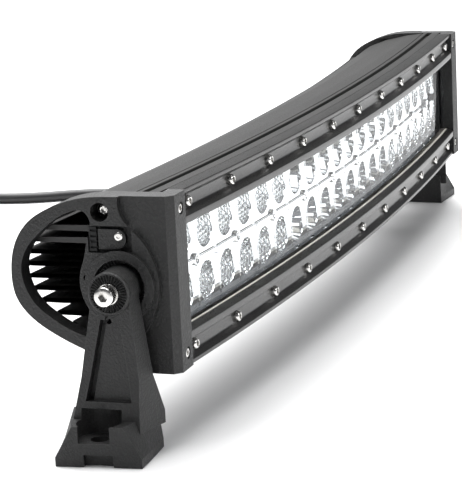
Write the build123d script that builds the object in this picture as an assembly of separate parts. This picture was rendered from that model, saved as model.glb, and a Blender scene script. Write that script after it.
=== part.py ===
from build123d import *
from math import atan2, cos, degrees, radians, sin, tan
import os

# Curved double-row LED light bar on two tilting side brackets.
# Frame: X along the bar, lens towards -Y, fins towards +Y, Z up, feet on Z = 0.
# "Depth" is measured back from the plane of the bezel screw heads, "height" from the bar's middle.

# ---- driving dimensions (mm) ----
ARC_R = 3050.0          # plan radius of the lens side
PITCH = 25.0            # LED pitch along and across the bar
COLUMNS = 20            # LED columns, two LEDs in each
MID_Z = 74.5            # height of the bar's middle and of the pivots above the feet
FRONT_Y = -40.7         # bezel screw heads at mid-length; Y = 0 runs through the mounting bolts
HALF_H = 39.5           # half the height of the end caps and bezels
BODY_X = 266.0          # half-length of the housing
LIP_X = 259.5           # inner edge of the end caps' front lips
CAP_FRONT_X = 276.0     # outer face of an end cap's front block
CAP_X = 278.5           # outer face of an end cap's ring and hub
CAP_FRONT_D = 9.3       # depth of the end caps' front face
PIVOT_D = 34.2          # depth of the tilt axis
BEZEL_T = 7.0           # thickness of a bezel strip, lip to housing
APERTURE = 22.5         # half the visible height of the lens
BACK_WALL_D = 28.0      # depth of the wall that carries the LED board
FIN_COUNT = 8
FIN_PITCH = 5.53
FIN_MID = 3.35          # height of the fins' middle line
FIN_ROOT = 1.4          # half-thickness of a fin at its root
FIN_TIP = 1.0
LEG_X_IN = 281.5        # bracket leg, face towards the end cap
LEG_X_OUT = 291.0       # bracket leg, outer face
DISC_X = 292.4          # outer face of the serrated disc
FOOT_TOE = 5.0          # a foot is set square to the end of the arc
BOLT_R = 4.25           # clearance hole for an M8 mounting bolt
TILT_BOLT_R = 2.5       # M5 pivot bolt
CABLE_D = 7.0           # two-core lead
GLAND_S = 215.0         # place of the cable gland along the bar
GLAND_TILT = 20.0       # the gland points down by this angle, straight away from the tilt axis
GLAND_REACH = 42.0      # from the tilt axis to the gland's seat on the housing
GLAND_L = 12.0
RELIEF_L = 22.0
COIL_R = 36.0           # middle of the coiled lead
COIL_C = (203.5, 343.3)
TIE_T = 0.8             # strap of the cable tie
PLUG_Z = 8.0            # height of the plug's middle
CUP_FRONT_R = 9.0       # mouth of a reflector cup
FLOOD_BACK_R = 5.2
SPOT_BACK_R = 3.6
CHANNEL_H = 29.0        # half-height of the housing's front channel
SLOT_D = 12.0           # depth of the T-slot along the top
SLOT_W = 3.0

# ---- derived ----
ARC_Y = FRONT_Y + ARC_R
PIVOT_Y = FRONT_Y + PIVOT_D
SCREW_PITCH = 2 * PITCH
SCREW_COUNT = COLUMNS // 2 + 1
MODULES = COLUMNS // 2
SCREW_H = 32.4
CAP_SCREW_X = 265.2
REFLECTOR_D = 10.7
REFLECTOR_T = 15.0
TRAY_WALL = 3.2
CLEAR = 0.3
HEAD_X_IN = 275.5 + CLEAR
NUT_T = 4.1
HEAD_OUT = 7.0          # pivot bolt's head, out from the disc
SLIDE = 0.05
SEAT_L = 36.0           # the gland's seat block, back into the fins
CORE_START = 39.4
INLET_IN = 10.0         # length of the lead held inside the seat
LIFT = CABLE_D / 2

CAP_OUTLINE = [(38.0, 39.5), (53.3, 38.2), (64.0, 34.8), (75.5, 28.3), (82.5, 19.0), (85.5, 5.0),
               (83.8, -6.5), (78.3, -14.3), (70.6, -20.3), (61.2, -25.5), (50.0, -30.3),
               (35.0, -36.0), (20.0, -39.5)]
WINDOW = [(47.4, 30.0), (51.0, 33.2), (56.5, 32.4), (62.8, 29.4), (70.2, 23.6), (77.0, 16.5),
          (80.5, 8.0), (80.2, 1.5), (78.0, -4.5), (74.0, -10.3), (68.4, -14.8), (61.4, -19.2),
          (53.0, -22.8), (46.5, -23.5), (46.0, -17.0), (50.0, -10.0), (52.9, -2.0), (52.6, 6.0),
          (50.3, 13.0), (48.5, 21.0)]
STEP_EDGE = [(33.3, 39.5), (33.6, 34.5), (31.2, 28.6), (24.2, 21.2), (19.0, 12.3), (16.6, 4.1),
             (16.8, -4.1), (19.4, -12.3), (24.6, -21.2), (31.6, -28.6), (34.0, -36.4)]
SHELL_TOP = [(16.0, 39.5), (27.5, 38.2), (42.8, 35.0), (53.5, 31.0), (60.0, 27.0)]
SHELL_BOTTOM = [(10.0, -39.0), (24.5, -33.8), (39.5, -27.6), (49.0, -23.2), (52.0, -21.8)]
FIN_TIPS = [58.0, 65.5, 68.5, 70.0, 71.6, 71.5, 69.8, 66.0]


def yz(depth, height):
    """Point of a section, in the (Y, Z) of the part's frame."""
    return (FRONT_Y + depth, MID_Z + height)


def along(s, depth, height):
    """Location on the arc: s along it, facing outwards with its local -Y."""
    a = s / ARC_R
    r = ARC_R - depth
    return Location((r * sin(a), ARC_Y - r * cos(a), MID_Z + height), (0, 0, degrees(a)))


def gland_place(distance):
    """Location on the gland's axis, measured out from its seat, with local +Y outwards."""
    axis_d = ARC_R - (ARC_Y - PIVOT_Y) / cos(GLAND_S / ARC_R)
    return along(GLAND_S, axis_d, 0) * Rot(-GLAND_TILT, 0, 0) * Pos(0, GLAND_REACH + distance, 0)


def band(points, half_x):
    """Closed section of (depth, height) points, swept along the arc and cut square to X."""
    section = [(0, -(ARC_R - d), MID_Z + h) for d, h in points]
    face = make_face(Polyline(*section, close=True))
    half_angle = degrees((half_x + 12) / ARC_R)
    solid = revolve(face, axis=Axis.Z, revolution_arc=2 * half_angle)
    solid = Pos(0, ARC_Y, 0) * (Rot(0, 0, -half_angle) * solid)
    return solid & Pos(0, 0, MID_Z) * Box(2 * half_x, 400, 200)


def section_box(d0, d1, h0, h1):
    """Rectangle of a section, from depth d0 to d1 and height h0 to h1."""
    return make_face(Polyline(yz(d0, h0), yz(d1, h0), yz(d1, h1), yz(d0, h1), close=True))


def slab(face_2d, x0, x1):
    """Section drawn in (Y, Z), extruded from x0 to x1."""
    plane = Plane((min(x0, x1), 0, 0), x_dir=(0, 1, 0), z_dir=(1, 0, 0))
    return extrude(plane * face_2d, amount=abs(x1 - x0))


def rod_x(depth, height, radius, x0, x1):
    """Cylinder along X between x0 and x1."""
    y, z = yz(depth, height)
    return Pos((x0 + x1) / 2, y, z) * Rot(0, 90, 0) * Cylinder(radius, abs(x1 - x0))


def rod_y(x, height, radius, y0, y1):
    """Cylinder along Y between y0 and y1."""
    return Pos(x, (y0 + y1) / 2, MID_Z + height) * Rot(90, 0, 0) * Cylinder(radius, abs(y1 - y0))


def mirrored(shape):
    """The same piece for the right-hand end."""
    return mirror(shape, about=Plane.YZ)


def pan_head(radius, head_t, socket_r, shank_r, shank_l):
    """Socket pan-head screw, head top at the origin, shank towards local +Y."""
    head = Pos(0, head_t / 2, 0) * Rot(90, 0, 0) * Cylinder(radius, head_t)
    head = fillet(head.edges().group_by(Axis.Y)[0], head_t * 0.35)
    shank = Pos(0, head_t + shank_l / 2, 0) * Rot(90, 0, 0) * Cylinder(shank_r, shank_l)
    socket = Rot(90, 0, 0) * extrude(RegularPolygon(socket_r, 6), amount=head_t * 0.6, both=True)
    return (head + shank) - socket


# ---- housing: extruded channel with a curved back shell and cooling fins ----
def shell_section(line, side):
    """Constant-thickness strip along a line of the back shell."""
    inner = [(d - 0.8, h - side * 2.2) for d, h in reversed(line)]
    return line + inner


def make_housing():
    body = band([(BEZEL_T, HALF_H), (16, HALF_H), (BACK_WALL_D + 6, 37.0), (BACK_WALL_D + 6, -29.5),
                 (10, -39.0), (BEZEL_T, -39.0)], BODY_X)
    channel = band([(BEZEL_T - 1, CHANNEL_H), (BACK_WALL_D, CHANNEL_H), (BACK_WALL_D, -CHANNEL_H),
                    (BEZEL_T - 1, -CHANNEL_H)], BODY_X + 1)
    slot = band([(SLOT_D, HALF_H + 1), (SLOT_D + SLOT_W, HALF_H + 1), (SLOT_D + SLOT_W, HALF_H - 2),
                 (SLOT_D, HALF_H - 2)], BODY_X + 1)
    body = body - channel - slot
    body = body + band(shell_section(SHELL_TOP[1:], 1), BODY_X)
    body = body + band(shell_section(SHELL_BOTTOM[1:], -1), BODY_X)
    for k in range(FIN_COUNT):
        h = FIN_MID + FIN_PITCH * (k - (FIN_COUNT - 1) / 2)
        body = body + band([(BACK_WALL_D + 5, h + FIN_ROOT), (FIN_TIPS[k], h + FIN_TIP),
                            (FIN_TIPS[k], h - FIN_TIP), (BACK_WALL_D + 5, h - FIN_ROOT)], BODY_X)
    body = body + gland_place(-SEAT_L / 2) * Box(22, SEAT_L, 20)
    body = body - gland_place(-20) * Rot(90, 0, 0) * Cylinder(CABLE_D / 2 + CLEAR, 42)
    for i in range(SCREW_COUNT):
        for side in (1, -1):
            body = body - screw_hole(screw_s(i), side * SCREW_H, 12)
    for m in range(MODULES):
        body = body - screw_hole(module_s(m), 0, 31)
    for x in (-BODY_X, BODY_X):
        body = body - rod_x(42.2, 32.6, 1.7 + SLIDE, x - 6, x + 6)
    return body


def screw_s(i):
    return (i - (SCREW_COUNT - 1) / 2) * SCREW_PITCH


def module_s(m):
    return (m - (MODULES - 1) / 2) * SCREW_PITCH


def screw_hole(s, height, depth):
    """Hole for an M3 screw driven in from the front."""
    return along(s, depth / 2, height) * Rot(90, 0, 0) * Cylinder(1.5 + SLIDE, depth)


def make_bezel(side):
    """Front strip: inner lip, hollow channel for the screws, outer lip."""
    points = [(2.4, APERTURE), (-1.5, 24.0), (-1.5, 27.5), (2.2, 29.5), (2.2, 35.5), (-0.8, 37.6), (-0.8, HALF_H),
              (BEZEL_T - 0.01, HALF_H), (BEZEL_T - 0.01, 30.0), (3.9, 30.0), (3.9, APERTURE)]
    strip = band([(d, side * h) for d, h in points], LIP_X)
    for i in range(SCREW_COUNT):
        strip = strip - screw_hole(screw_s(i), side * SCREW_H, 12)
    return strip


# ---- lens, reflectors, boards ----
def make_lens():
    return band([(4.0, 28.5), (6.9, 28.5), (6.9, -28.5), (4.0, -28.5)], LIP_X - 0.5)


def make_gasket():
    frame = band([(7.1, 28.8), (8.6, 28.8), (8.6, -28.8), (7.1, -28.8)], LIP_X - 1)
    hole = band([(7.0, 26.6), (8.8, 26.6), (8.8, -26.6), (7.0, -26.6)], LIP_X - 4)
    return frame - hole


def make_reflector(s, cup_back):
    """One module of four cups round a screw boss, in a tray open towards the lens."""
    block = along(s, REFLECTOR_D + (REFLECTOR_T - TRAY_WALL) / 2, 0)
    block = block * Box(2 * PITCH - 0.8, REFLECTOR_T + TRAY_WALL, 2 * PITCH - 0.3)
    block = block - along(s, REFLECTOR_D - TRAY_WALL, 0) * Box(2 * PITCH, 2 * TRAY_WALL, 2 * APERTURE)
    for dx in (-0.5, 0.5):
        for dz in (-0.5, 0.5):
            cup = Pos(dx * PITCH, 0, dz * PITCH) * Rot(-90, 0, 0) * Cone(CUP_FRONT_R, cup_back, REFLECTOR_T + 0.02)
            block = block - along(s, REFLECTOR_D + REFLECTOR_T / 2, 0) * cup
    well = along(s, REFLECTOR_D, 0) * Rot(90, 0, 0) * Cylinder(2.8, 5.0)
    return block - well - screw_hole(s, 0, 31)


def make_board():
    board = band([(BACK_WALL_D - 1.8, 26.0), (BACK_WALL_D - 0.02, 26.0), (BACK_WALL_D - 0.02, -26.0),
                  (BACK_WALL_D - 1.8, -26.0)], LIP_X - 4)
    for m in range(MODULES):
        board = board - screw_hole(module_s(m), 0, 31)
    return board


def make_cores():
    """The lead's two insulated cores, from the board out to the gland."""
    length = CORE_START - INLET_IN - CLEAR
    middle = gland_place(-CORE_START + length / 2)
    return [middle * Pos(0, 0, dz) * Rot(90, 0, 0) * Cylinder(1.2, length) for dz in (-1.4, 1.4)]


def make_leds():
    chips = []
    for col in range(COLUMNS):
        s = (col - (COLUMNS - 1) / 2) * PITCH
        for dz in (-0.5, 0.5):
            place = along(s, BACK_WALL_D - 1.85, dz * PITCH)
            chip = Pos(0, -0.4, 0) * Box(3.4, 0.8, 3.4)
            dome = Pos(0, -0.8, 0) * Sphere(1.4)
            half = Pos(0, -2.3, 0) * Box(4, 3, 4)
            chips.append(place * (chip + (dome & half)))
    return chips


# ---- end caps ----
def cap_face():
    curve = Spline(*[yz(d, h) for d, h in CAP_OUTLINE], tangents=[(1, 0), (-1, -0.02)])
    top = Line(yz(CAP_FRONT_D, HALF_H), yz(*CAP_OUTLINE[0]))
    bottom = Line(yz(*CAP_OUTLINE[-1]), yz(CAP_FRONT_D, -HALF_H))
    front = Line(yz(CAP_FRONT_D, -HALF_H), yz(CAP_FRONT_D, HALF_H))
    return make_face([top, curve, bottom, front])


def seal_ring(gap):
    """Flat seal let into an end cap's inner face, round the pocket."""
    outer = slab(section_box(18.0 + gap, 46.0 - gap, -30.5 + gap, 30.6 - gap), -BODY_X - 1.0, -BODY_X)
    return outer - slab(section_box(20.0 - gap, 44.0 + gap, -28.5 - gap, 29.0 + gap), -BODY_X - 2, -BODY_X + 1)


def make_cap():
    """Left-hand cast cap: front block, raised hub with the pivot boss, open ring behind."""
    cap = slab(cap_face(), -CAP_X, -BODY_X)
    edge = Spline(*[yz(d, h) for d, h in STEP_EDGE])
    around = [yz(34.0, -HALF_H - 6), yz(0, -HALF_H - 6), yz(0, HALF_H + 6), yz(33.3, HALF_H + 6)]
    box = Polyline(edge @ 1, *around, edge @ 0)
    cap = cap - slab(make_face([edge, box]), -CAP_X - 1, -CAP_FRONT_X)
    window = Spline(*[yz(d, h) for d, h in WINDOW], periodic=True)
    cap = cap - slab(make_face(window), -CAP_X - 1, -BODY_X + 1)
    relief = slab(section_box(54.0, 90.0, -32.0, 36.0), -BODY_X - 3.5, -BODY_X + 1)
    cap = cap - relief
    pocket = slab(section_box(21.0, 43.0, -27.5, 28.0), -BODY_X - 6.5, -BODY_X + 1)
    pocket = pocket - rod_x(PIVOT_D, 0, 11.0, -BODY_X - 7, -BODY_X + 1)
    cap = cap - pocket - seal_ring(0.0)
    lip_y0 = FRONT_Y + CAP_FRONT_D
    lip = Pos(-(LIP_X + BODY_X) / 2, lip_y0 + 3.9, MID_Z) * Box(BODY_X - LIP_X, 7.8, 2 * HALF_H)
    cap = cap + lip
    corner = Pos(-CAP_FRONT_X, lip_y0, MID_Z) * Rot(0, 0, 45) * Box(4.6, 4.6, 3 * HALF_H)
    cap = cap - corner
    cap = cap + rod_x(PIVOT_D, 0, 16.0, -CAP_X - 2, -CAP_X + 1)
    cap = cap - rod_x(PIVOT_D, 0, 12.0, -CAP_X - 3, -275.5)
    cap = cap - rod_x(PIVOT_D, 0, TILT_BOLT_R + 0.02, -CAP_X - 3, -BODY_X + 1)
    nut_hex = Plane((-BODY_X - 4.2, *yz(PIVOT_D, 0)), x_dir=(0, 1, 0), z_dir=(1, 0, 0)) * RegularPolygon(4.65, 6)
    cap = cap - extrude(nut_hex, amount=6)
    cap = cap - rod_x(42.2, 32.6, 4.2, -CAP_X - 1, -BODY_X - 4)
    cap = cap - rod_x(42.2, 32.6, 1.75, -CAP_X - 1, -BODY_X + 1)
    cap = cap - rod_x(50.0, 3.2, 1.4, -CAP_X - 1, -BODY_X + 1)
    cap = cap - slab(section_box(32.6 - 4.9, 48.2, 14.6, 26.6), -CAP_X - 1, -CAP_X + 3.0)
    for side in (1, -1):
        place = Pos(-CAP_SCREW_X, lip_y0, MID_Z + side * SCREW_H) * Rot(90, 0, 0)
        cap = cap - place * Cylinder(2.9, 4.4)
        cap = cap - place * Cylinder(1.5 + SLIDE, 60)
    return cap


def make_cover():
    """Small plate over the cable entry in an end cap, round at its front end."""
    plate = slab(section_box(35.2, 43.6, 16.2, 25.2), -CAP_X + 0.6, -CAP_X + 2.9)
    plate = plate + rod_x(35.2, 20.7, 4.5, -CAP_X + 0.6, -CAP_X + 2.9)
    return plate - rod_x(34.0, 22.0, 1.25, -CAP_X, -CAP_X + 3)


def make_cover_screw():
    place = Pos(-CAP_X + 0.1, *yz(34.0, 22.0)) * Rot(0, 0, -90)
    return place * pan_head(1.9, 0.49, 0.8, 1.2, 2.2)


def make_grommet():
    """Ribbed rubber wedge in the cable entry."""
    body = slab(section_box(44.4, 48.0, 15.0, 26.2), -CAP_X + 0.8, -CAP_X + 2.9)
    for k in range(4):
        groove = slab(section_box(44.0, 47.2, 16.4 + 2.5 * k, 17.4 + 2.5 * k), -CAP_X + 0.4, -CAP_X + 1.6)
        body = body - groove
    return body


# ---- brackets ----
# a leg's sections: height, then half-width at the inner and the outer face, and the middle's depth
LEG_STATIONS = [(2.0, LEG_X_IN, 8.6, LEG_X_OUT, 8.2, 34.2), (-38.0, LEG_X_IN, 16.2, 291.5, 13.4, 36.4),
                (-56.0, 274.0, 20.0, 293.5, 15.4, 38.4)]
FOOT_D = 40.4
BORE_X = 296.5
BORE_D = 40.7
WELL_Z = 10.5
WELL_R = 10.0
WELL_H = 12.5
NOTCH_W = 14.2
NOTCH_H = 8.5
# sunk panel of the leg's outer face and the deeper groove along its rear edge, (depth, height)
PANEL = [(31.0, -10.0), (36.9, -10.0), (45.2, -48.5), (26.6, -48.5)]
PANEL_CUT = 1.2
PANEL_GROOVE = [(36.9, -12.0), (39.4, -12.0), (48.0, -48.5), (45.2, -48.5)]
GROOVE_CUT = 4.0


def leg_section(height, x_in, half_in, x_out, half_out, mid):
    y = FRONT_Y + mid
    corners = [(-x_in, y - half_in), (-x_out, y - half_out), (-x_out, y + half_out), (-x_in, y + half_in)]
    return Pos(0, 0, MID_Z + height) * make_face(Polyline(*corners, close=True))


def make_bracket():
    """Left-hand cast bracket: serrated head, tapered leg with a sunk panel, foot with a bolt well."""
    sections = [leg_section(*station) for station in LEG_STATIONS]
    body = loft(sections[0:2], ruled=True) + loft(sections[1:3], ruled=True)
    toe = Location((-288, FRONT_Y + FOOT_D, 0), (0, 0, FOOT_TOE))
    low = [(16.0, -20.6), (-5.0, -20.2), (-16.0, -19.6), (-16.0, 19.6), (-5.0, 20.2), (16.0, 20.6)]
    high = [(14.0, -19.4), (-5.0, -15.2), (-16.0, -11.4), (-16.0, 11.4), (-5.0, 15.2), (14.0, 19.4)]
    ground = toe * make_face(Polyline(*low, close=True))
    base = toe * Pos(0, 0, 4.0) * make_face(Polyline(*low, close=True))
    crown = toe * Pos(0, 0, 18.0) * make_face(Polyline(*high, close=True))
    body = body + loft([ground, base], ruled=True) + loft([base, crown], ruled=True)
    body = body + outline_block()
    body = body + rod_x(PIVOT_D, 0, 9.4, -HEAD_X_IN, -LEG_X_OUT)
    body = body + rod_x(PIVOT_D, 0, 9.0, -LEG_X_OUT + 0.5, -DISC_X)
    for outline, depth in ((PANEL, PANEL_CUT), (PANEL_GROOVE, GROOVE_CUT)):
        sunk = make_face(Polyline(*[yz(d, h) for d, h in outline], close=True))
        body = body - slab(sunk, -LEG_X_OUT - 6, -LEG_X_OUT + depth)
    well = Pos(-BORE_X, FRONT_Y + BORE_D, 0)
    body = body - well * Pos(0, 0, WELL_Z + WELL_H / 2) * Cylinder(WELL_R, WELL_H)
    body = body - well * Pos(-8, 0, WELL_Z + NOTCH_H / 2) * Box(16, NOTCH_W, NOTCH_H)
    body = body - well * Cylinder(BOLT_R, 60)
    body = body - toe * Pos(-17.5, 0, 2.7) * Box(9, 13.4, 5.4)
    body = body - rod_x(36.0, -13.0, 1.2, -LEG_X_IN + 1, -LEG_X_OUT - 2)
    return body - rod_x(PIVOT_D, 0, TILT_BOLT_R + SLIDE, -270, -300)


def outline_block():
    """Fills the leg's root between its lowest section and the foot's crown."""
    return loft([leg_section(*LEG_STATIONS[2]), leg_section(-62.0, *LEG_STATIONS[2][1:])], ruled=True)


def make_pivot_bolt():
    """M5 socket cap screw on the tilt axis."""
    head = rod_x(PIVOT_D, 0, 4.3, -DISC_X - 1.5, -DISC_X - HEAD_OUT)
    head = chamfer(head.edges().group_by(Axis.X)[0], 0.4)
    shank = rod_x(PIVOT_D, 0, TILT_BOLT_R, -DISC_X - 1.5, -BODY_X - 0.8)
    hex_plane = Plane((-DISC_X - HEAD_OUT - 0.1, *yz(PIVOT_D, 0)), x_dir=(0, 1, 0), z_dir=(1, 0, 0))
    return head + shank - extrude(hex_plane * RegularPolygon(2.3, 6), amount=3)


def make_washer():
    """Split spring washer under the pivot bolt's head."""
    ring = rod_x(PIVOT_D, 0, 4.7, -DISC_X - 0.2, -DISC_X - 1.5)
    ring = ring - rod_x(PIVOT_D, 0, TILT_BOLT_R + SLIDE, -DISC_X, -DISC_X - 2)
    y, z = yz(PIVOT_D, 0)
    return ring - Pos(-DISC_X - 0.8, y, z + 3.8) * Rot(12, 0, 0) * Box(3, 0.5, 3)


def make_pivot_nut():
    """Hexagon nut held in the end cap."""
    plane = Plane((-BODY_X - NUT_T, *yz(PIVOT_D, 0)), x_dir=(0, 1, 0), z_dir=(1, 0, 0))
    nut = extrude(plane * RegularPolygon(4.6, 6), amount=NUT_T - 0.1)
    return nut - rod_x(PIVOT_D, 0, TILT_BOLT_R + 0.01, -BODY_X - 6, -BODY_X + 1)


# ---- cable ----
ROUTE = [(206.6, 83.5, 41.7), (207.8, 101.0, 31.5), (212.0, 118.5, 20.0), (219.5, 135.0, 10.5),
         (229.5, 151.0, 5.0), (240.5, 166.5, LIFT), (252.0, 183.0, LIFT), (262.0, 201.0, LIFT),
         (266.0, 221.5, LIFT), (258.5, 241.5, LIFT), (249.0, 259.0, LIFT), (243.5, 277.5, LIFT),
         (241.5, 299.5, LIFT), (240.0, 320.0, LIFT), (239.5, 337.3, LIFT + TIE_T)]
TAIL = [(167.5, 339.3, 11.3), (165.8, 320.3, 10.4), (161.4, 303.3, PLUG_Z)]


def tube(points):
    """Round tube along straight runs joined by tangent arcs, each as large as its runs allow."""
    radii = []
    for i in range(1, len(points) - 1):
        a = Vector(*points[i]) - Vector(*points[i - 1])
        b = Vector(*points[i + 1]) - Vector(*points[i])
        turn = a.get_angle(b)
        radii.append(0.45 * min(a.length, b.length) / tan(radians(turn) / 2))
    path = FilletPolyline(*points, radius=radii)
    section = Plane(origin=path @ 0, z_dir=path % 0) * Circle(CABLE_D / 2)
    return sweep(section, path=path)


def make_coil():
    """Outer shape of a turn and a half of the lead, laid flat."""
    ring = Pos(*COIL_C, TIE_T + CABLE_D) * Cylinder(COIL_R + CABLE_D / 2, 2 * CABLE_D)
    ring = ring - Pos(*COIL_C, TIE_T + CABLE_D) * Cylinder(COIL_R - CABLE_D / 2, 2 * CABLE_D + 2)
    return fillet(ring.edges(), 2.0)


def make_tie():
    """Nylon strap round the coil."""
    place = Pos(*COIL_C, 0) * Rot(0, 0, 235) * Pos(COIL_R, 0, TIE_T + CABLE_D)
    strap = Box(CABLE_D + 2 * TIE_T + 0.2, 4.0, 2 * CABLE_D + 2 * TIE_T)
    head = Pos(CABLE_D / 2 + TIE_T + 1.6, 0, 2) * Box(3.4, 5.4, 5.0)
    inside = Box(CABLE_D + 0.2, 6.0, 2 * CABLE_D)
    return place * (strap + head - inside)


def plug_place(offset):
    end = Vector(*TAIL[-1])
    way = (end - Vector(*TAIL[-2])).normalized()
    place = end + way * offset
    return Location((place.X, place.Y, PLUG_Z), (0, 0, degrees(atan2(-way.X, way.Y))))


def make_plug():
    """Two-pin sealed connector, lying on its flat side."""
    boot = plug_place(7) * Rot(90, 0, 0) * Cylinder(5.6, 14)
    shell = plug_place(27) * Box(17, 26, 2 * PLUG_Z - 2.6)
    shell = fillet(shell.edges().filter_by(Axis.Z), 2.5)
    nose = plug_place(44) * Box(12.4, 8, 9.4)
    latch = plug_place(30) * Pos(0, 0, PLUG_Z - 0.4) * Box(6, 16, 2.2)
    pins = [plug_place(45) * Pos(dx, 0, 0) * Rot(90, 0, 0) * Cylinder(1.6, 8) for dx in (-3, 3)]
    return boot + shell + nose + latch - pins[0] - pins[1]


def make_plug_seal():
    ring = plug_place(41.2) * Box(13.6, 2.0, 10.6)
    return ring - plug_place(41.2) * Box(12.44, 3, 9.44)


def make_gland():
    body = gland_place(2.5) * Rot(90, 0, 0) * extrude(RegularPolygon(9.0, 6), amount=2.5, both=True)
    neck = gland_place(5.5) * Rot(90, 0, 0) * Cylinder(6.5, 3)
    return body + neck - gland_place(0) * Rot(90, 0, 0) * Cylinder(CABLE_D / 2 + SLIDE, 40)


def make_gland_nut():
    nut = gland_place(9.5) * Rot(90, 0, 0) * extrude(RegularPolygon(8.6, 6), amount=2.48, both=True)
    return nut - gland_place(9.5) * Rot(90, 0, 0) * Cylinder(CABLE_D / 2 + SLIDE, 20)


def make_relief():
    """Tapered rubber sleeve where the lead leaves the gland."""
    sleeve = gland_place(GLAND_L + RELIEF_L / 2) * Rot(90, 0, 0) * Cone(4.0, 5.8, RELIEF_L)
    return sleeve - gland_place(20) * Rot(90, 0, 0) * Cylinder(CABLE_D / 2, 60)


def make_lead():
    start = gland_place(GLAND_L + RELIEF_L + CLEAR).position
    return tube([(start.X, start.Y, start.Z)] + ROUTE)


def make_inlet():
    """The stretch of the lead held inside the gland and its sleeve."""
    length = INLET_IN + GLAND_L + RELIEF_L
    return gland_place(length / 2 - INLET_IN) * Rot(90, 0, 0) * Cylinder(CABLE_D / 2, length)


# ---- write the pieces ----
def screws(side):
    return [along(screw_s(i), 0, side * SCREW_H) * pan_head(2.75, 2.19, 1.3, 1.5, 9.0) for i in range(SCREW_COUNT)]


def reflector_screws():
    return [along(module_s(m), REFLECTOR_D + 0.3, 0) * pan_head(2.7, 2.0, 1.3, 1.5, 17.0) for m in range(MODULES)]


def cap_front_screws():
    found = []
    for x in (-CAP_SCREW_X, CAP_SCREW_X):
        for side in (1, -1):
            place = Pos(x, FRONT_Y + CAP_FRONT_D + 0.2, MID_Z + side * SCREW_H)
            found.append(place * pan_head(2.7, 2.0, 1.3, 1.5, 6.0))
    return found


def cap_side_screw():
    return Pos(-CAP_X + 5.2, *yz(42.2, 32.6)) * Rot(0, 0, -90) * pan_head(2.9, 2.4, 1.3, 1.7, 9.0)


def write(name, shape):
    solids = shape if isinstance(shape, list) else [shape]
    group = []
    for item in solids:
        group.extend(item.solids())
    export_step(group[0] if len(group) == 1 else Compound(children=group), "parts/" + name + ".step")


os.makedirs("parts", exist_ok=True)
cap = make_cap()
seal = seal_ring(0.02)
bracket = make_bracket()
bolt = make_pivot_bolt()
washer = make_washer()
nut = make_pivot_nut()
cover = make_cover()
cover_screw = make_cover_screw()
grommet = make_grommet()
side_screw = cap_side_screw()

PIECES = {
    "housing": make_housing(),
    "bezel_top": make_bezel(1),
    "bezel_bottom": make_bezel(-1),
    "bezel_screws_top": screws(1),
    "bezel_screws_bottom": screws(-1),
    "lens": make_lens(),
    "lens_gasket": make_gasket(),
    "reflector_flood_left": [make_reflector(module_s(m), FLOOD_BACK_R) for m in range(0, 3)],
    "reflector_spot": [make_reflector(module_s(m), SPOT_BACK_R) for m in range(3, 7)],
    "reflector_flood_right": [make_reflector(module_s(m), FLOOD_BACK_R) for m in range(7, 10)],
    "reflector_screws": reflector_screws(),
    "led_board": make_board(),
    "leds": make_leds(),
    "end_cap_left": cap,
    "end_cap_right": mirrored(cap),
    "end_cap_seal_left": seal,
    "end_cap_seal_right": mirrored(seal),
    "end_cap_front_screws": cap_front_screws(),
    "end_cap_side_screws": [side_screw, mirrored(side_screw)],
    "entry_cover_left": cover,
    "entry_cover_right": mirrored(cover),
    "entry_cover_screws": [cover_screw, mirrored(cover_screw)],
    "entry_grommet_left": grommet,
    "entry_grommet_right": mirrored(grommet),
    "bracket_left": bracket,
    "bracket_right": mirrored(bracket),
    "pivot_bolt_left": bolt,
    "pivot_bolt_right": mirrored(bolt),
    "spring_washer_left": washer,
    "spring_washer_right": mirrored(washer),
    "pivot_nut_left": nut,
    "pivot_nut_right": mirrored(nut),
    "lead_cores": make_cores(),
    "cable_inlet": make_inlet(),
    "gland_body": make_gland(),
    "gland_nut": make_gland_nut(),
    "strain_relief": make_relief(),
    "power_cable": make_lead(),
    "power_cable_coil": make_coil(),
    "power_cable_tail": tube(TAIL),
    "cable_tie": make_tie(),
    "plug": make_plug(),
    "plug_seal": make_plug_seal(),
}
for name, shape in PIECES.items():
    write(name, shape)
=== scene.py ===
from math import asin, atan2, cos, hypot, pi, radians, sin, sqrt

import bmesh
import bpy
from mathutils import Matrix, Vector
from mathutils.geometry import tessellate_polygon

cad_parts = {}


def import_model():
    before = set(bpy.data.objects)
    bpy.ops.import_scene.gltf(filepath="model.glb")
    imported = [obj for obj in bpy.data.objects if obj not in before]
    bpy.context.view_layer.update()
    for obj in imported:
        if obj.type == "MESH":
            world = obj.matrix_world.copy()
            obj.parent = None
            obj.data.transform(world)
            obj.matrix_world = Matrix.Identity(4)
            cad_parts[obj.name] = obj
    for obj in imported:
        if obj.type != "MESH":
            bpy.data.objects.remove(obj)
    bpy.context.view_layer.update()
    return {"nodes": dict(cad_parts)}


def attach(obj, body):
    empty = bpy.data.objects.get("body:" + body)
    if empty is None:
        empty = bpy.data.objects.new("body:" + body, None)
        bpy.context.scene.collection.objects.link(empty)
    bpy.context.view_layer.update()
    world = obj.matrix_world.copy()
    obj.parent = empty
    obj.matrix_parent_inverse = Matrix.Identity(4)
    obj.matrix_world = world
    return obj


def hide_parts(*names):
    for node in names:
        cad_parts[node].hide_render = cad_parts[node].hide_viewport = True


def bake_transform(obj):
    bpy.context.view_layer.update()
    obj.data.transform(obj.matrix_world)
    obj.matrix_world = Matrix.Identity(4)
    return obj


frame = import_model()
nodes = frame["nodes"]

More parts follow.
